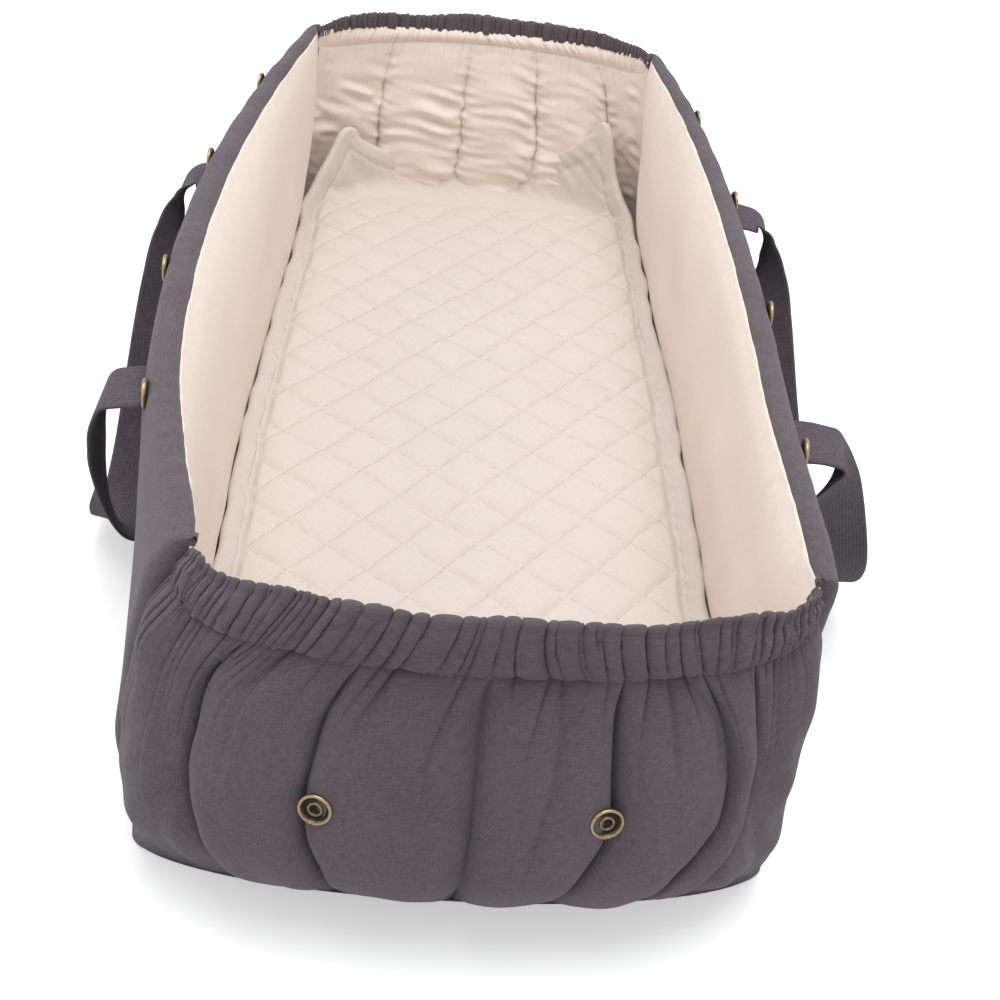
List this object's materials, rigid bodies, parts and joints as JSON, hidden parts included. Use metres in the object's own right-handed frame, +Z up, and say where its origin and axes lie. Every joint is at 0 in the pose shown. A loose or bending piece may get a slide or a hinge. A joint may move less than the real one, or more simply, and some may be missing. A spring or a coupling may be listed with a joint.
{
  "type": "soft carrycot",
  "caption": "Soft oblong carrycot with foam sides, gathered padded ends, webbing carrying loops, press studs and a quilted mattress.",
  "frame": {"origin": "on the ground under the middle of the carrycot", "axes": "+Z up, +Y along the length towards the end with five channels, +X to the right seen from the other end"},
  "size_m": [0.4824, 0.7852, 0.188],
  "materials": {
    "grey_canvas": "plain woven dark grey canvas",
    "cream_cotton": "soft cream cotton",
    "grey_webbing": "ribbed cotton webbing",
    "foam": "soft foam",
    "wadding": "loose fibre wadding",
    "fibre_board": "pressed board",
    "elastic": "woven elastic",
    "antique_brass": "aged brass"
  },
  "bodies": {
    "carrycot": {"base_cover": "grey_canvas", "base_board": "fibre_board", "base_lining": "cream_cotton", "left_side_cover": "grey_canvas", "left_side_foam": "foam", "left_side_lining": "cream_cotton", "right_side_cover": "grey_canvas", "right_side_foam": "foam", "right_side_lining": "cream_cotton", "front_end_cover": "grey_canvas", "front_end_wadding": "wadding", "front_end_lining": "cream_cotton", "back_end_cover": "grey_canvas", "back_end_wadding": "wadding", "back_end_lining": "cream_cotton", "front_casing": "grey_canvas", "front_elastic": "elastic", "back_casing": "grey_canvas", "back_elastic": "elastic", "left_front_handle_tab": "grey_webbing", "left_back_handle_tab": "grey_webbing", "right_front_handle_tab": "grey_webbing", "right_back_handle_tab": "grey_webbing", "left_stud_ring_1": "antique_brass", "left_stud_ring_2": "antique_brass", "left_stud_ring_3": "antique_brass", "left_stud_ring_4": "antique_brass", "left_stud_post_1": "antique_brass", "left_stud_post_2": "antique_brass", "left_stud_post_3": "antique_brass", "left_stud_post_4": "antique_brass", "right_stud_ring_1": "antique_brass", "right_stud_ring_2": "antique_brass", "right_stud_ring_3": "antique_brass", "right_stud_ring_4": "antique_brass", "right_stud_post_1": "antique_brass", "right_stud_post_2": "antique_brass", "right_stud_post_3": "antique_brass", "right_stud_post_4": "antique_brass", "front_stud_ring_1": "antique_brass", "front_stud_ring_2": "antique_brass", "front_stud_post_1": "antique_brass", "front_stud_post_2": "antique_brass", "back_stud_ring_1": "antique_brass", "back_stud_ring_2": "antique_brass", "back_stud_post_1": "antique_brass", "back_stud_post_2": "antique_brass"},
    "mattress": {"mattress_foam": "foam", "mattress_cover": "cream_cotton", "quilted_topper": "cream_cotton"},
    "left_handle": {"left_handle_loop": "grey_webbing"},
    "right_handle": {"right_handle_loop": "grey_webbing"}
  },
  "joints": [
    {"name": "mattress_lift", "type": "slide", "parent": "carrycot", "child": "mattress", "axis": [0, 0, 1], "range_m": [0, 0.2]},
    {"name": "left_handle_swing", "type": "hinge", "parent": "carrycot", "child": "left_handle", "pos_m": [-0.186, -0.051, 0.166], "axis": [0, 1, 0], "range_deg": [0, 150]},
    {"name": "right_handle_swing", "type": "hinge", "parent": "carrycot", "child": "right_handle", "pos_m": [0.186, -0.0545, 0.166], "axis": [0, -1, 0], "range_deg": [0, 150]}
  ]
}
